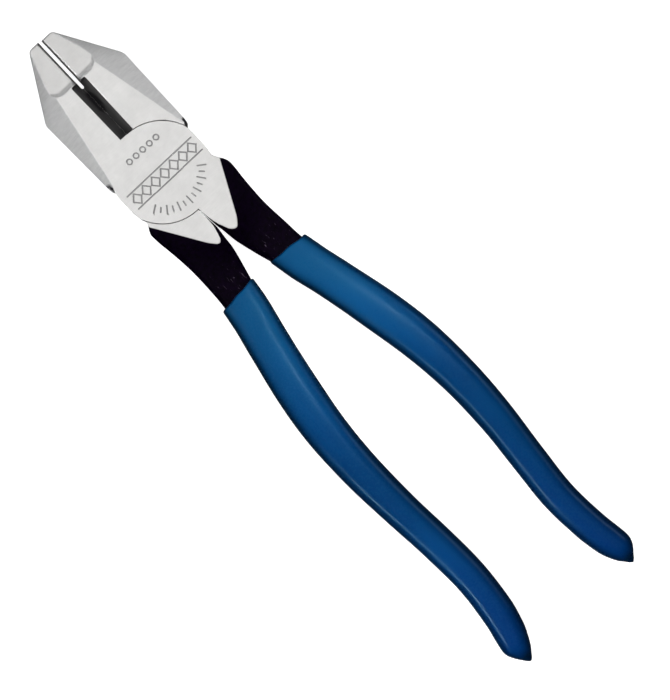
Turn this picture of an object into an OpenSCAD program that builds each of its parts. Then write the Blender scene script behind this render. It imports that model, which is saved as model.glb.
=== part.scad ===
// Lineman pliers: two forged halves in a lap joint, one rivet, two dipped grips.
// Frame: +Z up, +Y towards the nose, +X to the right of the open face.
// The origin is where the pivot axis meets the flat back face of the joint.

/* [Head] */
// Thickness across the ground joint faces
head_t = 16; // [14:0.5:18]
// Diameter of the round lap joint
joint_d = 30.8; // [29.6:0.1:31.4]
// Width across the flats ground on the joint's sides
joint_w = 29.5; // [28.6:0.1:30.6]
// Distance from the pivot to the tip of the nose
nose_y = 53.8; // [52:0.2:56]
// Distance from the pivot to the widest point of the head
shoulder_y = 34.4; // [33:0.2:36]
// How far the side bevels drop at the shoulder
bevel_drop = 5.3; // [3:0.1:6.5]
// Relief of the nose below the ground face, at its shoulder
nose_step = 0.6; // [0.6:0.1:2]
// Relief of the nose below the ground face, at the tip
nose_drop = 2.3; // [2:0.1:4]
// Radius of the scooped step at the foot of the nose
nose_scoop = 2; // [2:0.1:4]

/* [Jaws and cutter] */
// Gap between the gripping faces when the cutter is shut
grip_gap = 0.9; // [0.8:0.1:2]
// Gap between the knife edges when shut
knife_gap = 0.1; // [0.06:0.02:0.3]
// Chamfer along the gripping faces' long edges
grip_chamfer = 0.6; // [0.3:0.1:1]
// Pitch of the diagonal teeth on the gripping faces
tooth_pitch = 1.7; // [1.4:0.1:3]
// Width of the cutter recess in each face
recess_w = 5.3; // [4.8:0.1:6]
// Where the cutter recess ends, towards the nose
recess_top = 36.8; // [36.2:0.1:37.2]
// Where the knives end, towards the nose
knife_top = 35; // [33:0.2:35.6]
// Flat land left on each knife's edge
knife_land = 1.1; // [0.6:0.1:2]
// Depth of the recess's upright walls
recess_wall = 3.6; // [2.5:0.1:4.2]

/* [Joint] */
// Clearance between the two lap faces
lap_gap = 0.1; // [0.06:0.02:0.3]
// Clearance round the lap joint's disc
disc_gap = 0.25; // [0.2:0.05:0.4]
// Diameter of the rivet's shank
rivet_d = 9.2; // [8:0.1:10]
// Diameter of the rivet's countersunk heads
rivet_head_d = 12.8; // [11.5:0.1:14]
// Depth of the rivet's countersunk heads
rivet_head_h = 2.2; // [1.5:0.1:3]
// Radial running clearance of the rivet in the rear half
rivet_play = 0.04; // [0.02:0.01:0.08]

/* [Handles] */
// Thickness of the forged neck below the joint
neck_t = 10; // [9:0.2:10.6]
// Thickness of the tang at its end
tang_end_t = 7.4; // [6.4:0.2:8]
// Thickness of the dipped sleeve's wall
sleeve_wall = 1.3; // [1.1:0.1:1.5]
// Where the dipped sleeve starts
grip_y = -42; // [-44:0.5:-41]

/* [Pose] */
// How far the pliers are opened, in degrees
opening = 0; // [0:1:42]

/* [Hidden] */
H = head_t / 2;
R = joint_d / 2;
tang_end_y = -176;

// Corners of the jaw in plan, on its own half: nose tip, shoulder, foot of the side, foot of the jaw,
// then the head and foot of the edge of the flat face.
jaw_front = [[-4.3, nose_y], [-16, shoulder_y], [-15.2, 6.6], [-13.9, 4.7], [-8.2, 36.4], [-13.55, 7]];
jaw_rear = [[-4.7, nose_y - 0.2], [-16.25, shoulder_y], [-15.85, 6.5], [-14.4, 5], [-8.3, 36.4], [-14.75, 7]];
// Corners of the ground face on the ear: inner foot, tip, outer foot, outer top.
ear_front = [[1.25, -24.3], [3.4, -26.6], [5.6, -26.9], [15.3, -8.2]];
ear_rear = [[-0.2, -24.9], [1, -26.8], [3.3, -26.6], [14.05, -8.8]];
// The parting line between the two ears: x at the joint and x at the crotch, and half of the gap.
part_x = [0.2, 0.82];
part_gap = 0.12;
ear_slope = 0.46;

// One row per station down a handle: y, inner edge, outer edge of the bare steel.
// The rear half is drawn in its own frame, turned half round the long axis.
neck_right = [[-8, 5, 15.3], [-10.6, 3.6, 16.75], [-14, 1.9, 16.9], [-18, 0.8, 16.6], [-23, 1.1, 16.3],
    [-29, 2.1, 16.2], [-34, 3.2, 16.6], [-38, 4.3, 17], [-42, 5.6, 17.2]];
neck_left = [[-8.6, 5, 14.1], [-11.2, 3.4, 15.35], [-14.5, 1.6, 15.3], [-18, 0.1, 14.9], [-23, -0.7, 14.3],
    [-29, 0, 13.95], [-34, 1, 13.95], [-38, 1.9, 14.1], [-42, 2.9, 14.25]];
// One row per station down a grip: y, centre line, overall width, overall thickness, squareness.
grip_right = [[-42, 11.75, 13.4, 12.3, 3.4], [-50, 13.4, 13.4, 12.6, 3.2], [-58, 15.55, 13.4, 12.8, 3.0], [-74, 19.2, 13.8, 12.8, 2.8],
    [-90, 21.95, 13.1, 12.6, 2.7], [-106, 23.1, 12.0, 12.2, 2.6], [-122, 22.75, 11.3, 11.7, 2.5], [-138, 21.25, 10.7, 11.2, 2.4],
    [-152, 20.15, 10.5, 10.9, 2.4], [-165, 20.9, 10.5, 10.8, 2.4], [-174, 22.35, 9.9, 10.2, 2.3]];
grip_left = [[-42, 8.85, 13.4, 12.3, 3.4], [-50, 10.0, 13.4, 12.6, 3.2], [-58, 11.8, 13.6, 12.8, 3.0], [-74, 15.05, 13.9, 12.8, 2.8],
    [-90, 17.3, 13.2, 12.6, 2.7], [-106, 17.9, 12.2, 12.2, 2.6], [-122, 17.3, 11.4, 11.7, 2.5], [-138, 16.15, 10.9, 11.2, 2.4],
    [-152, 15.75, 10.7, 10.9, 2.4], [-165, 17.05, 10.7, 10.8, 2.4], [-174.7, 19.3, 9.9, 10.1, 2.3]];
// The sleeve's closed end and its drip point: y below the last station, share of the width left.
grip_end = [[-1.8, 0.9], [-3.4, 0.75], [-4.6, 0.58], [-5.6, 0.42], [-6.5, 0.3], [-7.2, 0.22], [-7.6, 0.12]];

// Smooth interpolation in a table with falling y.
function seat(T, y, i = 0) = i >= len(T) - 2 || y >= T[i + 1][0] ? i : seat(T, y, i + 1);
function grade(T, i, k) = let (a = max(i - 1, 0), b = min(i + 1, len(T) - 1)) (T[b][k] - T[a][k]) / (T[b][0] - T[a][0]);
function at(T, y, k) = let (i = seat(T, y), h = T[i + 1][0] - T[i][0], u = (y - T[i][0]) / h)
    (2 * u ^ 3 - 3 * u ^ 2 + 1) * T[i][k] + (u ^ 3 - 2 * u ^ 2 + u) * h * grade(T, i, k)
    + (3 * u ^ 2 - 2 * u ^ 3) * T[i + 1][k] + (u ^ 3 - u ^ 2) * h * grade(T, i + 1, k);

// A ring of n points: a rounded box of width w and thickness t, across the handle at y.
function ring(cx, y, w, t, sq, n) = [for (i = [0:n - 1]) let (a = 360 * i / n, c = cos(a), s = sin(a))
    [cx + w / 2 * sign(c) * pow(abs(c), 2 / sq), y, t / 2 * sign(s) * pow(abs(s), 2 / sq)]];

// Steel inside the sleeve, from the mouth down.
function tang_ring(G, N, y, n) = let (
    u = min(1, max(0, (grip_y - y) / 10)),
    cx = (1 - u) * (at(N, max(y, grip_y), 1) + at(N, max(y, grip_y), 2)) / 2 + u * at(G, max(y, -174), 1),
    w = (1 - u) * (at(N, max(y, grip_y), 2) - at(N, max(y, grip_y), 1)) + u * (at(G, max(y, -174), 2) - 2 * sleeve_wall),
    t = neck_t + (tang_end_t - neck_t) * max(0, (grip_y - y) / (grip_y - tang_end_y)),
    sq = 3.6 - 1.0 * u)
    ring(cx, y, w, t, sq, n);
function neck_ring(N, y, n) = let (a = at(N, y, 1), b = at(N, y, 2)) ring((a + b) / 2, y, b - a, neck_t, 3.6, n);

function steps(a, b, n) = [for (i = [0:n]) a + (b - a) * i / n];

// Closed skin over rings that all have n points; the first and last rings are capped.
module skin(rings) {
    n = len(rings[0]);
    m = len(rings);
    polyhedron(
        points = [for (r = rings) each r],
        faces = concat(
            [[for (i = [0:n - 1]) i]],
            [for (k = [0:m - 2]) for (i = [0:n - 1]) let (j = (i + 1) % n) [k * n + i, (k + 1) * n + i, (k + 1) * n + j]],
            [for (k = [0:m - 2]) for (i = [0:n - 1]) let (j = (i + 1) % n) [k * n + i, (k + 1) * n + j, k * n + j]],
            [[for (i = [n - 1:-1:0]) (m - 1) * n + i]]),
        convexity = 6);
}

// Everything on the upper side of the plane through three points.
module above(p, q, r) {
    c = cross(q - p, r - p);
    v = (c[2] < 0 ? -c : c) / norm(c);
    translate(p) rotate([0, acos(v[2]), atan2(v[1], v[0])]) translate([-90, -90, 0]) cube([180, 180, 40]);
}
// The same cut in the front and in the back.
module above_both(p, q, r) {
    above(p, q, r);
    mirror([0, 0, 1]) above(p, q, r);
}

// Left jaw, full thickness, before the lap joint is cut.
module jaw(J) {
    tip = J[0];
    flat_a = [J[4][0], J[4][1], H];
    flat_b = [J[5][0], J[5][1], H];
    corner = [J[1][0], J[1][1], H - bevel_drop];
    fall = (nose_drop - nose_step) / (nose_y - 37);
    difference() {
        translate([0, 0, -H]) linear_extrude(head_t) polygon([
            [-grip_gap / 2, tip[1]], [tip[0] + 0.7, tip[1]], [tip[0] + 0.15, tip[1] - 0.2], [tip[0] - 0.2, tip[1] - 0.6],
            J[1], J[2], J[3], [-9, 1],
            [-knife_gap / 2, 1], [-knife_gap / 2, knife_top], [-grip_gap / 2, knife_top]]);
        above_both(flat_a, flat_b, corner);
        above_both([J[4][0] - 1.15, 39.3, H - nose_step - 2.3 * fall], [tip[0], tip[1] - 0.2, H - nose_drop], corner);
        for (s = [0, 1]) mirror([0, 0, s]) {
            nose_relief();
            cutter_recess();
            // Broken corner across the tip
            above([0, tip[1] - 0.6, H - nose_drop], [-5, tip[1] - 0.6, H - nose_drop], [0, tip[1], H - nose_drop - 0.6]);
            // Chamfer along the gripping face
            intersection() {
                above([-grip_gap / 2 - grip_chamfer, 37, H - nose_step], [-grip_gap / 2 - grip_chamfer, nose_y, H - nose_drop],
                    [-grip_gap / 2, 37, H - nose_step - grip_chamfer]);
                translate([-4, recess_top, 0]) cube([6, 40, 20]);
            }
        }
        teeth();
    }
}
// Scoop that thins the nose, with a round-bottomed step at its lower end.
module nose_relief() {
    r = nose_scoop;
    full = acos(1 - nose_step / r);
    y0 = recess_top;
    y1 = y0 + r * sin(full);
    rotate([90, 0, -90]) translate([0, 0, -0.5]) linear_extrude(30) polygon(concat(
        [[-y0, H + 1], [-y0, H]],
        [for (i = [1:6]) let (a = full * (1 - i / 6)) [-y1 + r * sin(a), H - nose_step + r * (1 - cos(a))]],
        [[-nose_y - 1, H - nose_drop - 0.1], [-nose_y - 1, H + 1]]));
}
// Window over the knives: upright walls, then the knife's bevel down to the edge.
module cutter_recess() {
    w = recess_w / 2;
    translate([0, recess_top, 0]) rotate([90, 0, 0]) linear_extrude(recess_top - R)
        polygon([[-w, H + 1], [w, H + 1], [w, H - recess_wall], [knife_gap / 2, knife_land / 2], [-knife_gap / 2, knife_land / 2], [-w, H - recess_wall]]);
}
// Diagonal grooves, crossed, that leave pyramid teeth on the gripping face.
module teeth() {
    intersection() {
        translate([-grip_gap / 2 - 2, recess_top + 0.9, -H]) cube([4, nose_y - recess_top - 1.7, head_t]);
        for (s = [-1, 1]) for (y = [recess_top - 5:tooth_pitch:nose_y + 5])
            translate([-grip_gap / 2, y, 0]) rotate([s * 40, 0, 0]) rotate([0, 0, 45]) cube([0.62, 0.62, 34], center = true);
    }
}

// Ground ear beside the crotch: the full-thickness foot of the joint, sloping into the neck.
// side is 1 on the front half and -1 on the rear half, whose parting line is seen from behind.
module ear(N, E, side) {
    a = side * part_x[0] + part_gap;
    b = side * part_x[1] + part_gap;
    difference() {
        translate([0, 0, -H]) linear_extrude(head_t) polygon([
            [a, -4], [a, -R], [b, -23], [E[0][0] + 0.1, E[0][1] - 0.5], [at(N, -30, 1) + 0.6, -30], [at(N, -36, 1) + 1.2, -36], [at(N, -36, 2) - 1.2, -36],
            [at(N, -30, 2), -30], [at(N, -22, 2), -22], [at(N, -14, 2), -14], [N[1][2], N[1][0]], [N[0][2], N[0][0]], [N[0][2] - 1.5, -4]]);
        slope_from(E[3], E[2]);
        slope_from(E[2], E[1]);
        slope_from(E[1], E[0]);
    }
}
// Everything above a plane that falls away from the line p to q, on the right of it, front and back.
module slope_from(p, q) {
    d = (q - p) / norm(q - p);
    m = (p + q) / 2 + 10 * [-d[1], d[0]];
    n = (p + q) / 2 - 10 * [-d[1], d[0]];
    out = m[1] < n[1] ? m : n;
    above_both([p[0], p[1], H], [q[0], q[1], H], [out[0], out[1], H - 10 * ear_slope]);
}

// One forged half: jaw, lap disc, ear, neck and tang. Its jaw is on the left and its handle on the right.
module forged_half(N, G, J, E, side, bore) {
    difference() {
        union() {
            jaw(J);
            intersection() {
                translate([0, 0, lap_gap / 2]) cylinder(r = R, h = H - lap_gap / 2, $fn = 96);
                cube([joint_w, joint_d + 2, 2 * H], center = true);
            }
            ear(N, E, side);
            skin(concat(
                [for (y = steps(N[0][0], grip_y, 17)) neck_ring(N, y, 24)],
                [for (y = steps(grip_y - 2.5, -52, 3)) tang_ring(G, N, y, 24)],
                [for (y = steps(-58, tang_end_y, 22)) tang_ring(G, N, y, 24)]));
        }
        // Room for the other half's disc
        translate([0, 0, -H - 1]) cylinder(r = R + disc_gap, h = H + 1 + lap_gap / 2, $fn = 96);
        rivet_shape(bore);
    }
}
// The rivet's outline, grown by play.
module rivet_shape(play) {
    translate([0, 0, -H - 1]) cylinder(d = rivet_d + 2 * play, h = head_t + 2, $fn = 64);
    for (s = [0, 1]) mirror([0, 0, s]) translate([0, 0, H - rivet_head_h - play]) {
        cylinder(d1 = rivet_d + 2 * play, d2 = rivet_head_d + 2 * play, h = rivet_head_h + play, $fn = 64);
        translate([0, 0, rivet_head_h + play]) cylinder(d = rivet_head_d + 2 * play, h = 1, $fn = 64);
    }
}

// Dipped sleeve: outer skin down and round the closed end, and the tang's own shape inside.
module sleeve(N, G) {
    n = 24;
    last = G[len(G) - 1];
    outer = concat(
        [ring(at(G, grip_y, 1), grip_y, at(G, grip_y, 2) - 0.5, at(G, grip_y, 3) - 0.5, at(G, grip_y, 4), n)],
        [for (y = steps(grip_y - 0.5, last[0], 33)) ring(at(G, y, 1), y, at(G, y, 2), at(G, y, 3), at(G, y, 4), n)],
        [for (e = grip_end) ring(last[1] + 0.5 * (1 - e[1]), last[0] + e[0], last[2] * e[1], last[3] * e[1], 2.2, n)]);
    inner = concat(
        [tang_ring(G, N, grip_y, n)],
        [for (y = steps(grip_y - 2.5, -52, 3)) tang_ring(G, N, y, n)],
        [for (y = steps(-58, tang_end_y, 22)) tang_ring(G, N, y, n)]);
    a = len(outer);
    b = len(inner);
    polyhedron(
        points = concat([for (r = outer) each r], [for (r = inner) each r]),
        faces = concat(
            [for (k = [0:a - 2]) for (i = [0:n - 1]) let (j = (i + 1) % n) [k * n + i, (k + 1) * n + i, (k + 1) * n + j]],
            [for (k = [0:a - 2]) for (i = [0:n - 1]) let (j = (i + 1) % n) [k * n + i, (k + 1) * n + j, k * n + j]],
            [[for (i = [n - 1:-1:0]) (a - 1) * n + i]],
            [for (k = [a:a + b - 2]) for (i = [0:n - 1]) let (j = (i + 1) % n) [k * n + i, (k + 1) * n + j, (k + 1) * n + i]],
            [for (k = [a:a + b - 2]) for (i = [0:n - 1]) let (j = (i + 1) % n) [k * n + i, k * n + j, (k + 1) * n + j]],
            [[for (i = [0:n - 1]) (a + b - 1) * n + i]],
            [for (i = [0:n - 1]) let (j = (i + 1) % n) [i, j, a * n + j]],
            [for (i = [0:n - 1]) let (j = (i + 1) % n) [i, a * n + j, a * n + i]]),
        convexity = 8);
}

// Placement: the front half as drawn, the rear half turned half round the long axis.
module place_front() { translate([0, 0, H]) rotate([0, 0, opening]) children(); }
module place_rear() { translate([0, 0, H]) rotate([0, 180, 0]) children(); }

module front_half() { color([0.78, 0.78, 0.77]) place_front() forged_half(neck_right, grip_right, jaw_front, ear_front, 1, 0); }
module rear_half() { color([0.72, 0.72, 0.71]) place_rear() forged_half(neck_left, grip_left, jaw_rear, ear_rear, -1, rivet_play); }
module pivot_rivet() {
    color([0.8, 0.8, 0.79]) place_front() intersection() {
        rivet_shape(0);
        translate([0, 0, -H]) cylinder(d = rivet_head_d + 4, h = head_t, $fn = 64);
    }
}
module right_grip() { color([0.05, 0.24, 0.43]) place_front() sleeve(neck_right, grip_right); }
module left_grip() { color([0.05, 0.24, 0.43]) place_rear() sleeve(neck_left, grip_left); }

front_half();
rear_half();
pivot_rivet();
right_grip();
left_grip();
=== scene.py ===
"""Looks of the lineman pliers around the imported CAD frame. Lengths in this script are in millimetres until a mesh is made.

Each forged half is written as one signed distance function (negative inside), drawn with its jaw on the left (-x) and its
handle on the right (+x), z = 0 at the middle of the joint. The rear half is the same function turned half round the long axis.
"""
import math

import bpy
import numpy as np
import openvdb
from mathutils import Matrix, Vector


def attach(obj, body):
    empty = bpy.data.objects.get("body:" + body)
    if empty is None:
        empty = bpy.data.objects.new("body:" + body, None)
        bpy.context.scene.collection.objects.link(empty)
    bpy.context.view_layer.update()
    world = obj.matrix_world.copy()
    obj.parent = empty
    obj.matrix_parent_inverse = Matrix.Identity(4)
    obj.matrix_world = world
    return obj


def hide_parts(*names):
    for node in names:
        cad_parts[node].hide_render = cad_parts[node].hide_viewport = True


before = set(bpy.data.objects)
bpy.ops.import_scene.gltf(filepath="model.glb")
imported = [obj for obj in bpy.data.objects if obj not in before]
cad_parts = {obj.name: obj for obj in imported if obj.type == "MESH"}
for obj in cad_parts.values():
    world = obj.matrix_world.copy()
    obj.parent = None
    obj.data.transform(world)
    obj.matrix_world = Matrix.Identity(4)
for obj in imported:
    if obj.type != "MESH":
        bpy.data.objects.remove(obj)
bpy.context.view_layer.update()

VOXEL = 0.15
H = 8.0            # half the thickness of the head
R_DISC = 15.4      # radius of the lap joint
R_ROOM = 15.52     # radius of the room cut for the other half's disc
F = np.float32


# ---------------------------------------------------------------- distance helpers
def both(a, b, r):
    """Intersection with the edge rounded to radius r, a number or an array."""
    r = np.asarray(r, F)
    return np.minimum(-r, np.maximum(a, b)) + np.hypot(np.maximum(a + r, 0), np.maximum(b + r, 0))


def either(a, b, r):
    """Union with the corner filleted to radius r."""
    return np.maximum(F(r), np.minimum(a, b)) - np.hypot(np.maximum(F(r) - a, 0), np.maximum(F(r) - b, 0))


def side(X, Y, p, q):
    """Distance from the line p to q, positive on its right."""
    d = np.array([q[0] - p[0], q[1] - p[1]], float)
    d /= np.hypot(*d)
    return (X - F(p[0])) * F(d[1]) - (Y - F(p[1])) * F(d[0])


def plane(X, Y, A, p, q, r):
    """Distance above the plane through three points."""
    p, q, r = (np.array(v, float) for v in (p, q, r))
    n = np.cross(q - p, r - p)
    n /= np.linalg.norm(n)
    if n[2] < 0:
        n = -n
    return (X - F(p[0])) * F(n[0]) + (Y - F(p[1])) * F(n[1]) + (A - F(p[2])) * F(n[2])


def curve(table, y, k=1):
    """Smooth interpolation in a table of (y, value, ...) rows with falling y."""
    t = np.array(sorted(table), float)
    ys, v = t[:, 0], t[:, k]
    g = np.empty_like(v)
    g[1:-1] = (v[2:] - v[:-2]) / (ys[2:] - ys[:-2])
    g[0] = (v[1] - v[0]) / (ys[1] - ys[0])
    g[-1] = (v[-1] - v[-2]) / (ys[-1] - ys[-2])
    y = np.clip(np.asarray(y, float), ys[0], ys[-1])
    i = np.clip(np.searchsorted(ys, y, side="right") - 1, 0, len(ys) - 2)
    h = ys[i + 1] - ys[i]
    u = (y - ys[i]) / h
    return ((2 * u**3 - 3 * u**2 + 1) * v[i] + (u**3 - 2 * u**2 + u) * h * g[i]
            + (3 * u**2 - 2 * u**3) * v[i + 1] + (u**3 - u**2) * h * g[i + 1])


def tri(u, pitch):
    """Triangle wave from 0 to 1."""
    w = u / pitch
    return np.abs(2 * (w - np.floor(w)) - 1)


# ---------------------------------------------------------------- the two forgings
# The notch segments give where a painted shadow is drawn along each jaw's foot.
FRONT = {
    "tip": (-4.3, 53.9), "shoulder": (-16.0, 34.35), "side_foot": (-15.2, 6.6), "foot": (-13.9, 4.7),
    "flat_top": (-8.2, 36.4), "flat_foot": (-13.55, 7.0), "nose_edge": (-9.35, 39.3),
    "inner": [(-14, 0.3), (-18.5, 0.62), (-22.6, 0.95), (-24.2, 1.3), (-27, 1.62), (-30, 2.1), (-35, 3.4), (-38, 4.25), (-42, 5.5), (-47, 6.9)],
    "outer": [(-4, 13.4), (-6, 14.2), (-8.2, 15.3), (-9.6, 16.25), (-11, 16.8), (-13, 16.9), (-18, 16.5), (-23, 16.25), (-27, 16.2), (-31, 16.4), (-35, 16.75), (-42, 17.25), (-47, 18.2)],
    "ear": [(1.25, -24.3), (3.2, -26.3), (4.9, -27.15), (6.3, -26.0), (15.3, -8.2)],
    "painted_notch_shadow": ((-14.8, 8.2), (-13.8, 4.6)), "engraved": True,
}
REAR = {
    "tip": (-4.75, 53.6), "shoulder": (-16.25, 34.4), "side_foot": (-15.85, 6.5), "foot": (-14.4, 5.0),
    "flat_top": (-8.3, 36.4), "flat_foot": (-14.75, 7.0), "nose_edge": (-9.75, 39.3),
    "inner": [(-14, -0.08), (-18.5, -0.4), (-22.6, -0.73), (-24.2, -0.6), (-27, -0.3), (-30, -0.05), (-35, 1.0), (-38, 1.75), (-42, 2.75), (-47, 4.0)],
    "outer": [(-4, 13.0), (-6, 13.5), (-8.8, 14.1), (-10, 14.8), (-11.3, 15.35), (-13, 15.35), (-15, 15.2), (-20, 14.55), (-24, 14.15), (-28, 13.9), (-34, 13.9), (-42, 14.3), (-47, 15.3)],
    "ear": [(-0.2, -24.9), (0.95, -26.75), (2.2, -27.1), (3.3, -26.2), (14.05, -8.8)],
    "painted_notch_shadow": ((-15.5, 7.4), (-14.8, 4.6)), "engraved": False,
}
KNIFE, GRIP, KNIFE_TOP, WINDOW_TOP, WINDOW_FOOT = 0.004, 0.46, 35.0, 36.8, 15.5


def window_half(Y):
    return F(2.5) + (Y - F(15.5)) * F(0.0095)


def relief_height(Y):
    """Height of the nose facet above the middle plane."""
    return F(H - 0.6) - F(0.1) * (Y - F(37))


def ear_distance(P, X, Y):
    pts = P["ear"]
    d = side(X, Y, pts[0], pts[1])
    for p, q in zip(pts[1:-1], pts[2:]):
        d = both(d, side(X, Y, p, q), 0.6)
    return d


def window(P, X, Y, A):
    """The cutter recess: negative inside it."""
    hw = window_half(Y)
    flat = both(both(-(X + hw), Y - F(WINDOW_TOP), 0.55), F(WINDOW_FOOT) - Y, 0.25)
    floor = F(0.55) + F(3.85) * (-X - F(KNIFE)) / F(2.45)
    return np.maximum(flat, (floor - A) / F(1.86))


def ornament(X, Y):
    """Distance to the engraved strokes on the disc: a chain of lozenges between two rules, dots above, ticks round the foot."""
    cx, cy, half = F(0.35), F(-0.75), F(13.0)
    u = X - cx
    v = np.abs(Y - cy)
    rules = np.hypot(np.maximum(np.abs(u) - half, 0), v - F(2.5)) - F(0.2)
    pitch = F(3.7)
    w = np.abs(u / pitch - np.round(u / pitch)) * pitch
    loz = np.abs((w * F(1.85) + v * F(1.6)) / F(2.446) - F(1.21)) - F(0.19)
    loz = np.maximum(loz, np.abs(u) - half)
    d = np.minimum(rules, loz)
    for k in range(-2, 3):
        d = np.minimum(d, np.abs(np.hypot(X - F(0.4 + 2.7 * k), Y - F(8.9)) - F(0.8)) - F(0.19))
    ang = np.arctan2(Y - F(0.2), X - F(0.4))
    rad = np.hypot(X - F(0.4), Y - F(0.2))
    step = F(math.radians(9.2))
    mid = F(math.radians(-90))
    k = np.clip(np.round((ang - mid) / step), -6, 6)
    off = (ang - mid - k * step) * rad
    length = np.where(np.mod(k, 2) == 0, F(1.25), F(0.7))
    tick = np.hypot(np.maximum(np.abs(rad - F(11.7)) - length, 0), off) - F(0.2)
    return np.minimum(d, tick)


def half_body(P, X, Y, Z, engraved=True):
    """Signed distance to one forged half. X, Y, Z broadcast against each other."""
    A = np.abs(Z)
    # Jaw, in plan
    tip, sh, sf, ft = P["tip"], P["shoulder"], P["side_foot"], P["foot"]
    jaw = both(side(X, Y, (0, tip[1]), (-5, tip[1])), side(X, Y, tip, sh), 0.9)
    jaw = both(jaw, side(X, Y, sh, sf), 0.5)
    jaw = both(jaw, side(X, Y, sf, ft), 0.3)
    jaw = np.maximum(jaw, F(1) - Y)
    # Side bevels, nose bevels and the thinner nose beyond the break line
    ft3 = (*P["flat_top"], H)
    ff3 = (*P["flat_foot"], H)
    co3 = (*sh, H - 5.3)
    jaw = both(jaw, plane(X, Y, A, ft3, ff3, co3), 0.07)
    n1 = (*P["nose_edge"], float(relief_height(P["nose_edge"][1])))
    n2 = (tip[0], tip[1] - 0.2, float(relief_height(tip[1])))
    jaw = both(jaw, plane(X, Y, A, n1, n2, co3), 0.5)
    facet = (A - relief_height(Y)) * F(0.996)
    wall = Y - F(36.6) - F(0.28) * np.clip(-X - F(6.0), 0, 3.2) ** 2
    keep = either(wall, facet, 2.0)
    jaw = both(jaw, keep, 0.25)
    # Small chamfer over the tip and along the gap
    jaw = both(jaw, (A - relief_height(Y) + F(0.35) + (Y - F(tip[1]))) * F(0.7071), 0.2)
    jaw = both(jaw, (A - F(H - 0.6) + side(X, Y, sf, ft)) * F(0.7071), 0.1)
    gap_chamfer = (A - relief_height(Y) + F(GRIP + 0.66) + X) * F(0.7071)
    jaw = np.maximum(jaw, np.where(Y > 36.7, gap_chamfer, F(-9)))
    # Knife plane and the gripping faces with crossed teeth
    jaw = np.maximum(jaw, X + F(KNIFE))
    c, s = F(math.cos(math.radians(52))), F(math.sin(math.radians(52)))
    teeth = np.maximum(tri(Y * c + Z * s, 1.7), tri(Y * c - Z * s, 1.7))
    teeth = teeth * F(0.42) * np.clip((Y - F(37.4)) * 2, 0, 1) * np.clip((F(tip[1] - 0.7) - Y) * 2, 0, 1)
    slot = both(-(X + F(GRIP)) - teeth, F(KNIFE_TOP) - Y, 0.45)
    jaw = np.maximum(jaw, -slot)
    # Disc of the lap joint, flattened a little at the sides
    disc = both(np.hypot(X, Y) - F(R_DISC), np.abs(X) - F(14.75), 0.5)
    disc = both(disc, F(0.05) - Z, 0.1)
    # Ear, neck and the start of the tang
    yy = np.ravel(Y) if Y.size > 1 else np.atleast_1d(Y)
    inner = curve(P["inner"], yy).astype(F).reshape(np.shape(Y))
    outer = curve(P["outer"], yy).astype(F).reshape(np.shape(Y))
    plan = both(inner - X, X - outer, 0.4)
    plan = np.maximum(plan, Y + F(4.2))
    plan = np.maximum(plan, F(-46.4) - Y)
    d_ear = ear_distance(P, X, Y)
    slope = (A - F(H) + F(0.46) * d_ear) * F(0.908)
    level = A - F(5.0)
    top = either(slope, level, 3.4)
    neck = both(plan, top, np.clip((F(-8.5) - Y) * F(0.28), 0.15, 2.3))
    body = np.minimum(np.minimum(jaw, disc), neck)
    body = both(body, A - F(H), 0.13)
    # Cutter recess
    body = both(body, -window(P, X, Y, A), 0.1)
    # Room for the other half's disc
    room = np.maximum(np.hypot(X, Y) - F(R_ROOM), Z - F(0.05))
    body = both(body, -room, 0.12)
    # Bore and countersinks of the rivet
    cone = np.clip((A - F(H - 2.2)) / F(2.2), 0, 2)
    bore = np.hypot(X, Y) - F(4.612) - cone * F(1.8)
    body = np.maximum(body, -bore)
    if P["engraved"] and engraved:
        body = np.maximum(body, -engraving(X, Y, Z))
    return body


def engraving(X, Y, Z):
    return np.maximum(ornament(X, Y), F(H - 0.22) - Z)


def rivet_body(X, Y, Z):
    """Rivet with two countersunk heads, ground flush and engraved with the disc."""
    A = np.abs(Z)
    cone = np.clip((A - F(H - 2.2)) / F(2.2), 0, 2)
    body = np.hypot(X, Y) - F(4.6) - cone * F(1.8)
    body = np.maximum(body, A - F(H))
    return np.maximum(body, -engraving(X, Y, Z))


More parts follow.
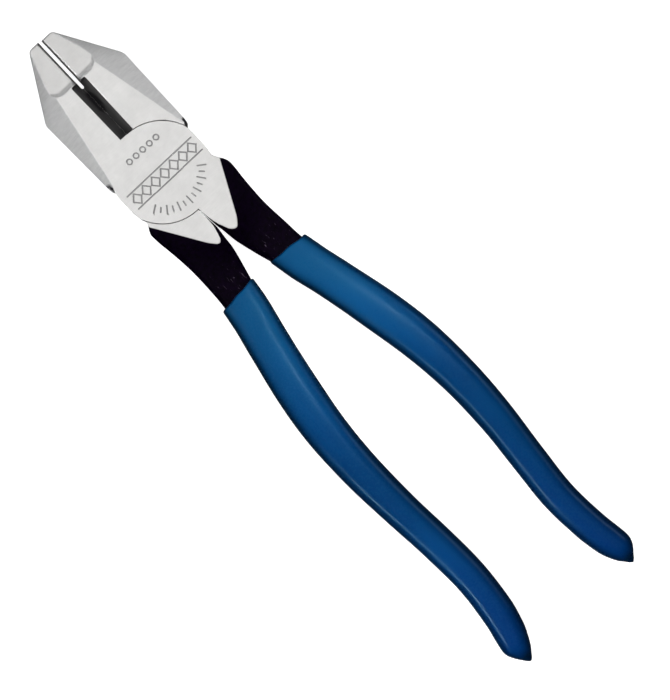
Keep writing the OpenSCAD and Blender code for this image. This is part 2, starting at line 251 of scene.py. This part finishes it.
def mesh_field(body, lo, hi, h):
    """Meshes a distance field on a voxel grid, pulls each vertex onto the exact surface and returns its points, normals and faces."""
    x, y, z = (np.arange(lo[k], hi[k], h, dtype=F) for k in range(3))
    out = np.empty((len(x), len(y), len(z)), F)
    for i in range(0, len(x), 48):
        out[i:i + 48] = body(x[i:i + 48][:, None, None], y[None, :, None], z[None, None, :])
    g = openvdb.FloatGrid()
    g.background = 1.0
    g.copyFromArray(np.clip(out, -1, 1))
    g.transform = openvdb.createLinearTransform(voxelSize=h)
    pts, tris, quads = g.convertToPolygons(0.0, 0.004)
    pts = pts.astype(F) + np.array([x[0], y[0], z[0]], F)

    def grad(p, e=0.03):
        n = np.empty_like(p)
        for k in range(3):
            a, b = p.copy(), p.copy()
            a[:, k] += e
            b[:, k] -= e
            n[:, k] = (body(*a.T) - body(*b.T)) / (2 * e)
        return n

    for _ in range(2):
        n = grad(pts)
        length = np.linalg.norm(n, axis=1)
        step = np.clip(body(*pts.T) / np.maximum(length, 0.3), -0.5 * h, 0.5 * h)
        pts = pts - n / np.maximum(length, 1e-6)[:, None] * step[:, None]
    n = grad(pts)
    n /= np.maximum(np.linalg.norm(n, axis=1), 1e-6)[:, None]
    ground = np.abs(pts[:, 2]) > H - 0.012              # the two faces are ground dead flat
    ground |= (np.abs(np.hypot(pts[:, 0], pts[:, 1]) - 6.4) < 0.16) & (np.abs(pts[:, 2]) > H - 0.17)
    n[ground] = np.stack([0 * pts[ground, 0], 0 * pts[ground, 0], np.sign(pts[ground, 2])], 1)
    faces = [tuple(t[::-1]) for t in tris.tolist()] + [tuple(q[::-1]) for q in quads.tolist()]
    if check_outward(pts, faces) < 0:
        faces = [f[::-1] for f in faces]
    return pts, n, faces


def grid_mesh(name, P, turned):
    """One forged half with the masks that its material reads at each vertex."""
    pts, n, faces = mesh_field(lambda X, Y, Z: half_body(P, X, Y, Z), (-17.4, -47.0, -8.7), (19.4, 54.9, 8.7), VOXEL)
    X, Y, Z = pts[:, 0], pts[:, 1], pts[:, 2]
    A = np.abs(Z)
    rad = np.hypot(X, Y)
    dark = 1.0 * ((Y < -4.5) & (rad > R_DISC + 0.1) & (X > -3))
    in_window = (X > -window_half(Y) - 0.06) & (Y > WINDOW_FOOT - 0.12) & (Y < WINDOW_TOP + 0.06) & (X < 0.2) & (rad > R_DISC - 0.3)
    # The recess is made darker still in a lens along its middle.
    lens = np.clip(1.1 - np.hypot((X + F(0.35)) / F(0.85), (Y - F(29.5)) / F(4.2)), 0, 1)
    dark = np.maximum(dark, in_window * (0.79 + 0.145 * np.clip(lens * 4, 0, 1)))
    # The jaw faces that look into the gap are made darker as well.
    gap = (X > -GRIP - 0.75) & (Y > KNIFE_TOP) & (A < relief_height(Y) - 0.04) & (n[:, 0] > 0.4)
    dark = np.maximum(dark, 0.72 * gap)
    # Painted shadow: a dark stroke along the jaw's foot, where the notch throws shade. It rides in the same mask as the
    # black oxide.
    p, q = (np.array(v, F) for v in P["painted_notch_shadow"])
    t = np.clip(((X - p[0]) * (q - p)[0] + (Y - p[1]) * (q - p)[1]) / ((q - p) ** 2).sum(), 0, 1)
    near = np.hypot(X - p[0] - t * (q - p)[0], Y - p[1] - t * (q - p)[1])
    dark = np.maximum(dark, 0.96 * np.clip((F(0.5) - near) / 0.12, 0, 1) * (A < H - 0.08) * (rad > R_DISC - 1.0))
    # Painted light: the side bevels and the sloping faces of the nose step and tip are marked for a lighter, less
    # metallic copy of the same ground steel, so that they read as lit faces.
    facet = ((Y > 4.0) & ~in_window & ~gap & (rad > R_DISC + 0.05)) * np.clip(-n[:, 0] * 8.0, 0, 1)
    facet = np.maximum(facet, ((Y > 36.5) & ~gap) * np.clip((np.abs(n[:, 1]) - 0.14) * 3.0, 0, 0.9))
    scuff = np.clip((F(-31) - Y) / 5, 0, 1)
    ink = np.zeros_like(X)
    if P["engraved"]:
        o = ornament(X, Y)
        ink = ((o < 0.02) & (Z > H - 0.3) & (Z < H - 0.03)).astype(F)
    if turned:
        pts = pts * np.array([-1, 1, -1], F)
        n = n * np.array([-1, 1, -1], F)
    pts = pts + np.array([0, 0, H], F)
    return name, pts, n, faces, {"oxide_and_shade": dark, "facet": facet, "ink": ink, "scuff": scuff}


def build(name, pts, faces, attrs=None, normals=None, smooth=True):
    me = bpy.data.meshes.new(name)
    me.from_pydata((np.asarray(pts, float) * 0.001).tolist(), [], faces)
    me.validate(clean_customdata=False)
    me.update()
    me.polygons.foreach_set("use_smooth", [smooth] * len(me.polygons))
    for k, v in (attrs or {}).items():
        a = me.attributes.new(k, "FLOAT", "POINT")
        a.data.foreach_set("value", np.asarray(v, F))
    if normals is not None:
        me.normals_split_custom_set_from_vertices(np.asarray(normals, float).tolist())
    ob = bpy.data.objects.new(name, me)
    bpy.context.scene.collection.objects.link(ob)
    return ob


def check_outward(pts, faces):
    """Signed volume of the closed mesh: positive when its faces look outward."""
    p = np.asarray(pts, float)
    v = 0.0
    for size in (3, 4):
        f = np.array([q for q in faces if len(q) == size], int).reshape(-1, size)
        for i in range(1, size - 1):
            v += np.einsum("ij,ij->i", p[f[:, 0]], np.cross(p[f[:, i]], p[f[:, i + 1]])).sum()
    return v / 6


# ---------------------------------------------------------------- grips and tangs
GRIP_Y = -42.0
GRIP_R = {"rows": [(-42, 11.75, 13.5, 12.3, 3.4), (-46, 12.6, 13.5, 12.4, 3.3), (-50, 13.45, 13.4, 12.6, 3.2), (-58, 15.55, 13.35, 12.8, 3.0), (-74, 19.2, 13.8, 12.8, 2.8),
    (-90, 21.95, 13.1, 12.6, 2.7), (-106, 23.1, 12.0, 12.2, 2.6), (-122, 22.75, 11.3, 11.7, 2.5), (-138, 21.25, 10.7, 11.2, 2.4),
    (-152, 20.15, 10.5, 10.9, 2.4), (-165, 20.9, 10.4, 10.8, 2.4), (-172, 22.0, 10.15, 10.4, 2.35), (-174.2, 22.45, 9.7, 10.1, 2.3), (-175.8, 22.75, 8.9, 9.6, 2.3), (-177.2, 22.85, 7.75, 8.7, 2.2),
    (-178.6, 22.85, 6.05, 7.0, 2.15), (-179.8, 22.85, 4.0, 5.0, 2.1), (-180.7, 22.85, 2.6, 3.4, 2.0), (-181.3, 22.85, 1.7, 2.2, 2.0), (-181.55, 22.85, 0.9, 1.1, 2.0)], "slant": 0.07}
GRIP_L = {"rows": [(-42, 8.75, 13.6, 12.3, 3.4), (-46, 9.3, 13.6, 12.4, 3.3), (-50, 10.0, 13.5, 12.6, 3.2), (-58, 11.8, 13.6, 12.8, 3.0), (-74, 15.05, 13.9, 12.8, 2.8),
    (-90, 17.3, 13.2, 12.6, 2.7), (-106, 17.9, 12.2, 12.2, 2.6), (-122, 17.3, 11.4, 11.7, 2.5), (-138, 16.15, 10.9, 11.2, 2.4),
    (-152, 15.75, 10.7, 10.9, 2.4), (-165, 17.05, 10.7, 10.8, 2.4), (-172, 18.65, 10.35, 10.4, 2.35), (-174.6, 19.35, 9.8, 10.1, 2.3), (-176.2, 19.7, 8.9, 9.6, 2.3), (-177.7, 19.75, 7.5, 8.7, 2.2),
    (-179.2, 19.75, 5.75, 7.0, 2.15), (-180.4, 19.8, 3.95, 5.0, 2.1), (-181.3, 19.8, 2.6, 3.4, 2.0), (-181.9, 19.8, 1.7, 2.2, 2.0), (-182.15, 19.8, 0.9, 1.1, 2.0)], "slant": 0.095}


def ring(cx, y, w, t, sq, n):
    """Superellipse section of width w and thickness t across the handle."""
    a = np.linspace(0, 2 * math.pi, n, endpoint=False)
    c, s = np.cos(a), np.sin(a)
    e = 2.0 / sq
    return np.stack([cx + w / 2 * np.sign(c) * np.abs(c) ** e, np.full(n, float(y)), t / 2 * np.sign(s) * np.abs(s) ** e], 1)


def loft(rings, closed_ends=True):
    n = len(rings[0])
    pts = np.concatenate(rings)
    faces = []
    for k in range(len(rings) - 1):
        for i in range(n):
            j = (i + 1) % n
            faces.append((k * n + i, (k + 1) * n + i, (k + 1) * n + j, k * n + j))
    if closed_ends:
        faces.append(tuple(range(n)))
        m = len(rings) - 1
        faces.append(tuple(m * n + i for i in range(n - 1, -1, -1)))
    return pts, faces


def even_ring(cx, y, w, t, sq, n):
    """The same section with its points spread evenly along the outline."""
    fine = ring(cx, y, w, t, sq, 720)
    d = np.linalg.norm(np.roll(fine, -1, 0) - fine, axis=1)
    s = np.concatenate([[0], np.cumsum(d)])
    want = np.linspace(0, s[-1], n, endpoint=False)
    closed = np.vstack([fine, fine[:1]])
    return np.stack([np.interp(want, s, closed[:, k]) for k in range(3)], 1)


def grip_at(G, y):
    return [float(curve(G["rows"], y, k)) for k in (1, 2, 3, 4)]


def grip_mesh(name, G, turned):
    n = 112
    rings = []
    # From inside the mouth, round the lip, and down the handle
    cx, w, t, sq = grip_at(G, GRIP_Y)
    for dy, inset in ((-5.0, 2.2), (-2.0, 1.9), (-0.55, 1.55), (-0.12, 1.25), (0.0, 0.95), (0.03, 0.62), (-0.03, 0.36), (-0.16, 0.16), (-0.36, 0.05), (-0.62, 0.0)):
        y = GRIP_Y + dy
        c2, w2, t2, s2 = grip_at(G, y)
        rings.append(even_ring(c2, y, w2 - 2 * inset, t2 - 2 * inset, s2, n))
    ys = list(np.arange(GRIP_Y - 1.4, -172.0, -1.2)) + list(np.arange(-172.5, G["rows"][-1][0] + 0.02, -0.45))
    for y in ys:
        c2, w2, t2, s2 = grip_at(G, y)
        rings.append(even_ring(c2, y, w2, t2, s2, n))
    end = G["rows"][-1]
    rings.append(even_ring(end[1], end[0] - 0.16, end[2] * 0.72, end[3] * 0.72, 2.0, n))
    rings.append(even_ring(end[1], end[0] - 0.25, end[2] * 0.32, end[3] * 0.32, 2.0, n))
    pts, faces = loft(rings)
    # The dipped edge isn't square to the handle, and wanders a little
    cxs = curve(G["rows"], pts[:, 1], 1)
    fade = np.clip((pts[:, 1] + 50) / 8, 0, 1) ** 1.5
    across = pts[:, 0] - cxs
    pts[:, 1] += fade * (-G["slant"] * across + 0.12 * np.sin(across * 0.9 + 1.0) + 0.08 * np.sin(pts[:, 2] * 1.1))
    # Slow unevenness of the dipped skin
    wave = 1 + 0.004 * np.sin(pts[:, 1] * 0.21) + 0.003 * np.sin(pts[:, 1] * 0.13 + 1.3)
    grow = np.where(pts[:, 1] < -46, wave, 1.0)
    pts[:, 0] = cxs + (pts[:, 0] - cxs) * grow
    pts[:, 2] *= grow
    if turned:
        pts = pts * np.array([-1, 1, -1])
    pts = pts + np.array([0, 0, H])
    if check_outward(pts, faces) < 0:
        faces = [f[::-1] for f in faces]
    # How far each point of the section has turned away from the flat of the handle. The flanks that turn away are
    # painted darker as shade.
    grid = pts.reshape(-1, n, 3)
    across = np.cross(np.roll(grid, -1, 1) - np.roll(grid, 1, 1), np.gradient(grid, axis=0))
    rise = np.abs(across[..., 2]) / np.maximum(np.linalg.norm(across, axis=2), 1e-9)
    # Painted shade on the rounded end of the handle.
    painted_end_shade = np.clip((G["rows"][-1][0] + 5.4 - pts[:, 1]) / 3.4, 0, 1) ** 1.2 * 1.15
    side = np.clip((0.90 - rise) / 0.40, 0, 1)
    side = 0.62 * (1 - rise**4) + 0.46 * side * side * (3 - 2 * side)
    # Painted light: the sleeve is coloured lighter and greener towards the mouth, standing in for its highlights.
    wear_and_painted_light = np.clip((pts[:, 1] + 92) / 44, 0, 1)
    # Painted shade: the blue is made deeper and darker towards the end of the handle.
    painted_tail_shade = np.clip((-128 - pts[:, 1]) / 45, 0, 1)
    return build(name, pts, faces, {"painted_flank_shade": np.maximum(side.ravel(), painted_end_shade), "wear_and_painted_light": wear_and_painted_light, "painted_tail_shade": painted_tail_shade})


def tang_mesh(G, P, turned):
    """The steel inside the sleeve, hidden by it."""
    rings = []
    for y in np.linspace(-45.5, -176, 50):
        c, w, t, sq = grip_at(G, max(y, -174))
        rings.append(even_ring(c, y, w - 3.4, min(t - 3.0, 9.6 - (-45 - y) * 0.017), 2.8, 40))
    pts, faces = loft(rings)
    if turned:
        pts = pts * np.array([-1, 1, -1])
    pts = pts + np.array([0, 0, H])
    if check_outward(pts, faces) < 0:
        faces = [f[::-1] for f in faces]
    return pts, faces


def make_half(name, P, G, turned):
    name, pts, n, faces, attrs = grid_mesh(name, P, turned)
    tp, tf = tang_mesh(G, P, turned)
    base = len(pts)
    faces = faces + [tuple(i + base for i in f) for f in tf]
    tn = np.zeros_like(tp)
    # Normals of the hidden tang point away from its own axis
    m = 40
    for k in range(len(tp) // m):
        seg = tp[k * m:(k + 1) * m]
        v = seg - seg.mean(0)
        tn[k * m:(k + 1) * m] = v / np.maximum(np.linalg.norm(v, axis=1), 1e-6)[:, None]
    allp = np.vstack([pts, tp])
    alln = np.vstack([n, tn])
    attrs = {k: np.concatenate([v, np.full(len(tp), 1.0 if k == "oxide_and_shade" else 0.0)]) for k, v in attrs.items()}
    return build(name, allp, faces, attrs, alln)


def rivet_mesh():
    pts, n, faces = mesh_field(rivet_body, (-7.2, -7.2, -8.7), (7.2, 7.2, 8.7), VOXEL)
    ink = ((ornament(pts[:, 0], pts[:, 1]) < 0.02) & (pts[:, 2] > H - 0.3) & (pts[:, 2] < H - 0.03)).astype(F)
    zero = np.zeros_like(ink)
    return build("pivot_rivet_head", pts + np.array([0, 0, H], F), faces, {"oxide_and_shade": zero, "facet": zero, "ink": ink, "scuff": zero}, n)


# ---------------------------------------------------------------- materials
class Nodes:
    def __init__(self, name):
        self.mat = bpy.data.materials.new(name)
        self.mat.use_nodes = True
        self.t = self.mat.node_tree
        self.t.nodes.clear()
        self.out = self.t.nodes.new("ShaderNodeOutputMaterial")
        self.bsdf = self.t.nodes.new("ShaderNodeBsdfPrincipled")
        self.t.links.new(self.bsdf.outputs[0], self.out.inputs[0])

    def link(self, a, b):
        self.t.links.new(a, b)

    def coords(self, scale):
        tc = self.t.nodes.new("ShaderNodeTexCoord")
        mp = self.t.nodes.new("ShaderNodeMapping")
        mp.inputs["Scale"].default_value = tuple(1000 * s for s in scale)
        self.link(tc.outputs["Object"], mp.inputs["Vector"])
        return mp.outputs["Vector"]

    def noise(self, scale, detail=4, rough=0.55, dist=0.0):
        n = self.t.nodes.new("ShaderNodeTexNoise")
        n.inputs["Scale"].default_value = 1.0
        n.inputs["Detail"].default_value = detail
        n.inputs["Roughness"].default_value = rough
        n.inputs["Distortion"].default_value = dist
        self.link(self.coords(scale), n.inputs["Vector"])
        return n.outputs["Fac"]

    def attr(self, name):
        n = self.t.nodes.new("ShaderNodeAttribute")
        n.attribute_name = name
        return n.outputs["Fac"]

    def below_face(self):
        """1 on everything lower than the two ground faces of the head, 0 on them."""
        s = self.t.nodes.new("ShaderNodeSeparateXYZ")
        self.link(self.coords((1, 1, 1)), s.inputs[0])
        away = self.math("ABSOLUTE", self.math("SUBTRACT", s.outputs[2], H), 0.0)
        return self.remap(away, H - 0.13, H - 0.07, 1.0, 0.0)

    def remap(self, v, a, b, c, d):
        n = self.t.nodes.new("ShaderNodeMapRange")
        self.link(v, n.inputs["Value"])
        for k, x in zip(("From Min", "From Max", "To Min", "To Max"), (a, b, c, d)):
            n.inputs[k].default_value = x
        return n.outputs["Result"]

    def math(self, op, a, b):
        n = self.t.nodes.new("ShaderNodeMath")
        n.operation = op
        for i, v in enumerate((a, b)):
            if isinstance(v, (int, float)):
                n.inputs[i].default_value = v
            else:
                self.link(v, n.inputs[i])
        return n.outputs[0]

    def mix(self, fac, a, b, kind="RGBA", blend="MIX"):
        n = self.t.nodes.new("ShaderNodeMix")
        n.data_type = kind
        if kind == "RGBA":
            n.blend_type = blend
            ia, ib, io = 6, 7, 2
        else:
            ia, ib, io = 2, 3, 0
        if isinstance(fac, (int, float)):
            n.inputs[0].default_value = fac
        else:
            self.link(fac, n.inputs[0])
        for i, v in ((ia, a), (ib, b)):
            if isinstance(v, (int, float)):
                n.inputs[i].default_value = v
            elif isinstance(v, tuple):
                n.inputs[i].default_value = (*v, 1.0)
            else:
                self.link(v, n.inputs[i])
        return n.outputs[io]

    def bump(self, height, strength, distance_mm, normal=None):
        n = self.t.nodes.new("ShaderNodeBump")
        n.inputs["Strength"].default_value = strength
        n.inputs["Distance"].default_value = distance_mm * 0.001
        self.link(height, n.inputs["Height"])
        if normal is not None:
            self.link(normal, n.inputs["Normal"])
        return n.outputs["Normal"]


def steel_material(name, masks):
    m = Nodes(name)
    lines = m.noise((0.35, 9.0, 0.35), 5, 0.6)          # fine grinding lines across the tool
    lines2 = m.noise((0.9, 26.0, 0.9), 3, 0.5)
    cloud = m.noise((0.16, 0.16, 0.16), 4, 0.6)         # slow mottling of the ground faces
    speck = m.noise((2.6, 2.6, 2.6), 2, 0.5)
    col = m.mix(m.remap(cloud, 0.3, 0.72, 0, 1), (0.66, 0.655, 0.645), (0.78, 0.775, 0.765))
    col = m.mix(m.remap(lines, 0.4, 0.75, 0, 0.35), col, (0.56, 0.555, 0.55))
    rough = m.math("ADD", m.remap(cloud, 0.25, 0.75, 0.30, 0.42), m.remap(lines2, 0.3, 0.7, -0.04, 0.06))
    metal = 1.0
    height = m.math("ADD", m.math("MULTIPLY", lines, 0.7), m.math("MULTIPLY", lines2, 0.5))
    if masks:
        facet, ink = m.attr("facet"), m.attr("ink")
        # The oxide mask holds the black oxide finish and also painted shade: the dark strokes at the jaws' feet.
        oxide_and_shade = m.math("MULTIPLY", m.attr("oxide_and_shade"), m.below_face())
        # Uneven tone of the black oxide.
        wear_and_painted_light = m.noise((0.8, 0.8, 0.8), 6, 0.65)
        # Painted light: the bevels in the facet mask get a lighter colour than the flats of the same ground steel.
        col = m.mix(facet, col, m.mix(m.remap(lines, 0.35, 0.7, 0, 1), (0.76, 0.76, 0.765), (0.88, 0.88, 0.88)))
        streak = m.noise((0.22, 1.1, 0.22), 5, 0.7, 0.6)
        col = m.mix(m.math("MULTIPLY", facet, m.remap(streak, 0.42, 0.72, 0, 0.42)), col, (0.60, 0.60, 0.60))
        rough = m.mix(facet, rough, m.math("ADD", rough, 0.10), "FLOAT")
        col = m.mix(m.math("MULTIPLY", ink, 0.7), col, (0.16, 0.16, 0.165))
        black = m.mix(m.remap(wear_and_painted_light, 0.35, 0.75, 0, 1), (0.0010, 0.0002, 0.0022), (0.0050, 0.0009, 0.0105))
        scratch = m.math("MULTIPLY", m.attr("scuff"), m.remap(m.noise((2.6, 0.45, 0.8), 3, 0.5, 0.5), 0.66, 0.74, 0, 0.5))
        black = m.mix(scratch, black, (0.13, 0.10, 0.15))
        col = m.mix(oxide_and_shade, col, black)
        ox_rough = m.remap(wear_and_painted_light, 0.3, 0.8, 0.30, 0.48)
        rough = m.mix(oxide_and_shade, rough, ox_rough, "FLOAT")
        # Painted light: less metal on the bevels, so that they take up the lamps as lit faces.
        metal = m.mix(oxide_and_shade, m.remap(facet, 0, 1, 1.0, 0.2), 0.0, "FLOAT")
        forge = m.noise((0.55, 0.42, 0.55), 5, 0.6)
        height = m.mix(oxide_and_shade, height, m.math("MULTIPLY", forge, 5.0), "FLOAT")
        m.link(metal, m.bsdf.inputs["Metallic"])
    else:
        m.bsdf.inputs["Metallic"].default_value = 1.0
    col = m.mix(m.remap(speck, 0.68, 0.8, 0, 0.12), col, (0.25, 0.24, 0.23)) if not masks else col
    m.link(col, m.bsdf.inputs["Base Color"])
    m.link(rough, m.bsdf.inputs["Roughness"])
    m.link(m.bump(height, 0.35, 0.012), m.bsdf.inputs["Normal"])
    m.bsdf.inputs["Specular IOR Level"].default_value = 0.016
    return m.mat


def grip_material():
    m = Nodes("grip_vinyl_blue")
    cloud = m.noise((0.05, 0.03, 0.05), 4, 0.55)
    fine = m.noise((1.4, 1.4, 1.4), 4, 0.6)
    peel = m.noise((0.42, 0.42, 0.42), 3, 0.5)
    scuff = m.noise((0.5, 0.07, 0.5), 5, 0.65, 0.4)
    col = m.mix(m.remap(cloud, 0.32, 0.7, 0, 1), (0.0005, 0.055, 0.205), (0.0009, 0.074, 0.258))
    col = m.mix(m.remap(fine, 0.5, 0.75, 0, 0.25), col, (0.0013, 0.088, 0.29))
    col = m.mix(m.remap(scuff, 0.66, 0.82, 0, 0.22), col, (0.005, 0.088, 0.26))
    # Painted light: lighter, greener blue towards the mouth.
    col = m.mix(m.math("MULTIPLY", m.attr("wear_and_painted_light"), 0.75), col, (0.006, 0.106, 0.272))
    # Painted shade: deeper, darker blue towards the end of the handle.
    col = m.mix(m.math("MULTIPLY", m.attr("painted_tail_shade"), 0.6), col, (0.0003, 0.034, 0.195))
    rough = m.math("ADD", m.remap(cloud, 0.3, 0.7, 0.25, 0.31), m.math("ADD", m.remap(fine, 0.3, 0.7, -0.03, 0.03), m.remap(scuff, 0.6, 0.8, 0.0, 0.10)))
    # Painted shade: the flanks of the sleeve and its rounded end are coloured dark, where they turn away from the
    # light.
    col = m.mix(m.math("MULTIPLY", m.attr("painted_flank_shade"), 0.76), col, (0.0003, 0.009, 0.025))
    m.link(col, m.bsdf.inputs["Base Color"])
    m.link(rough, m.bsdf.inputs["Roughness"])
    height = m.math("ADD", m.math("MULTIPLY", peel, 3.0), m.math("MULTIPLY", fine, 0.7))
    m.link(m.bump(height, 0.25, 0.02), m.bsdf.inputs["Normal"])
    m.bsdf.inputs["Specular IOR Level"].default_value = 0.07
    m.bsdf.inputs["Specular Tint"].default_value = (0.5, 0.8, 1.0, 1.0)
    return m.mat


# ---------------------------------------------------------------- pieces
front = make_half("front_half_forging", FRONT, GRIP_R, False)
rear = make_half("rear_half_forging", REAR, GRIP_L, True)
rivet = rivet_mesh()
grip_r = grip_mesh("right_grip_sleeve", GRIP_R, False)
grip_l = grip_mesh("left_grip_sleeve", GRIP_L, True)

steel = steel_material("forged_steel_ground", True)
rivet_steel = steel_material("rivet_steel_ground", True)
vinyl = grip_material()
for ob, mat, body, node, slot in (
    (front, steel, "front", "front_half", "forged_steel"),
    (rear, steel, "rear", "rear_half", "forged_steel"),
    (rivet, rivet_steel, "front", "pivot_rivet", "rivet_steel"),
    (grip_r, vinyl, "front", "right_grip", "grip_vinyl"),
    (grip_l, vinyl, "rear", "left_grip", "grip_vinyl"),
):
    ob.data.materials.append(mat)
    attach(ob, body)
    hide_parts(node)

# ---------------------------------------------------------------- floor, light, camera
me = bpy.data.meshes.new("floor")
me.from_pydata([(-3, -3, 0), (3, -3, 0), (3, 3, 0), (-3, 3, 0)], [], [(0, 1, 2, 3)])
floor = bpy.data.objects.new("floor", me)
floor.location = (0, 0, -0.0002)
bpy.context.scene.collection.objects.link(floor)
fm = Nodes("floor_white")
fm.bsdf.inputs["Base Color"].default_value = (0.6, 0.6, 0.6, 1)
fm.bsdf.inputs["Roughness"].default_value = 0.9
fm.bsdf.inputs["Specular IOR Level"].default_value = 0.1
fm.bsdf.inputs["Emission Color"].default_value = (1, 1, 1, 1)
fm.bsdf.inputs["Emission Strength"].default_value = 1.0
me.materials.append(fm.mat)
floor.visible_glossy = False
floor.visible_diffuse = False


def area(name, at, target, size, power, spread=180):
    d = bpy.data.lights.new(name, "AREA")
    d.shape = "RECTANGLE"
    d.size, d.size_y = size, size
    d.energy = power
    d.spread = math.radians(spread)
    o = bpy.data.objects.new(name, d)
    o.location = at
    o.rotation_mode = "QUATERNION"
    o.rotation_quaternion = (Vector(target) - Vector(at)).to_track_quat("-Z", "Y")
    bpy.context.scene.collection.objects.link(o)
    return o


area("key", (0.0, -0.05, 2.2), (0, -0.07, 0), 2.6, 22.5)
area("head_left", (-0.34, 0.10, 0.38), (-0.004, 0.026, 0.012), 0.15, 0.023, 24)
area("head_right", (0.36, 0.06, 0.36), (0.006, 0.026, 0.012), 0.15, 0.013, 22)
area("side_right", (0.44, -0.13, 0.15), (0.024, -0.125, 0.008), 0.30, 0.060, 28)
area("crest_right", (0.12, -0.066, 0.45), (0.004, -0.072, 0.008), 0.045, 0.0040, 8.5)
area("side_left", (-0.36, -0.155, 0.21), (0.0, -0.152, 0.008), 0.035, 0.021, 26)

world = bpy.data.worlds.new("studio")
world.use_nodes = True
world.node_tree.nodes["Background"].inputs[0].default_value = (1, 1, 1, 1)
world.node_tree.nodes["Background"].inputs[1].default_value = 0.04
bpy.context.scene.world = world
bpy.context.scene.view_settings.view_transform = "Standard"

cam_data = bpy.data.cameras.new("camera")
cam = bpy.data.objects.new("camera", cam_data)
bpy.context.scene.collection.objects.link(cam)
cam_data.lens = 200
cam_data.sensor_width = 36
distance = 0.210 * 200 / 36
right = Vector((0.7284, -0.6852, 0)).normalized()
up = Vector((0.6852, 0.7284, 0)).normalized()
back = right.cross(up)
aim = Vector((0.0012, -0.0740, 0.010))
cam.location = aim + back * distance
cam.rotation_mode = "QUATERNION"
cam.rotation_quaternion = Matrix((right, up, back)).transposed().to_quaternion()
cam_data.clip_start, cam_data.clip_end = 0.05, 10
bpy.context.scene.camera = cam
